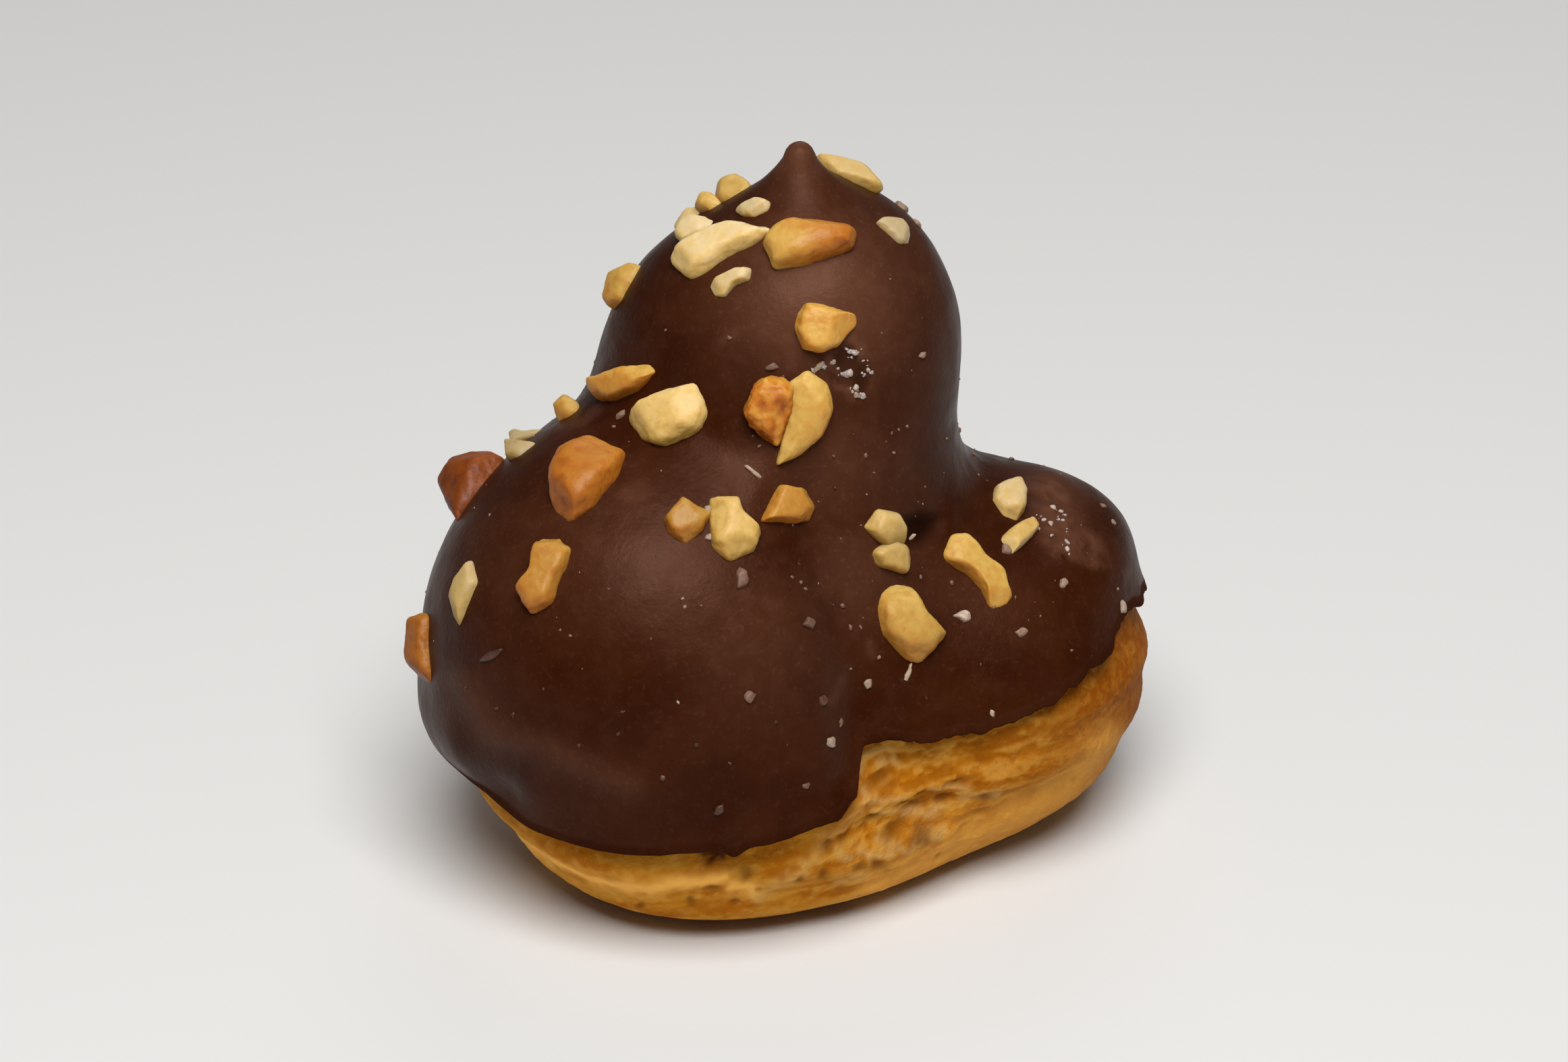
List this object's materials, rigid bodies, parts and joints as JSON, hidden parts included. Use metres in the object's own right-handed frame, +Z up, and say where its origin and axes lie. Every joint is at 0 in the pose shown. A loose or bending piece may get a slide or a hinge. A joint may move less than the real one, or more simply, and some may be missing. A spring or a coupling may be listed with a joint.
{
  "type": "profiterole",
  "caption": "Uneven choux bun with side lobes and a pulled-up tip, its upper part under a thin dark chocolate coat set with chopped nuts. Eaten by hand.",
  "frame": {"origin": "middle of the resting face's plane, below the middle of the bun's box", "axes": "+Z up from the resting face to the tip, -Y towards the front with the step in the chocolate's edge, +X towards the right lobe"},
  "size_m": [0.0492, 0.0402, 0.0479],
  "materials": {
    "choux_crust": "matte, golden brown baked crust with paler cracks",
    "chocolate": "satin, dark brown set chocolate",
    "chopped_nuts": "matte, pale to toasted nut chips"
  },
  "bodies": {
    "root": {"choux_bun": "choux_crust", "chocolate_coat": "chocolate"}
  },
  "joints": []
}
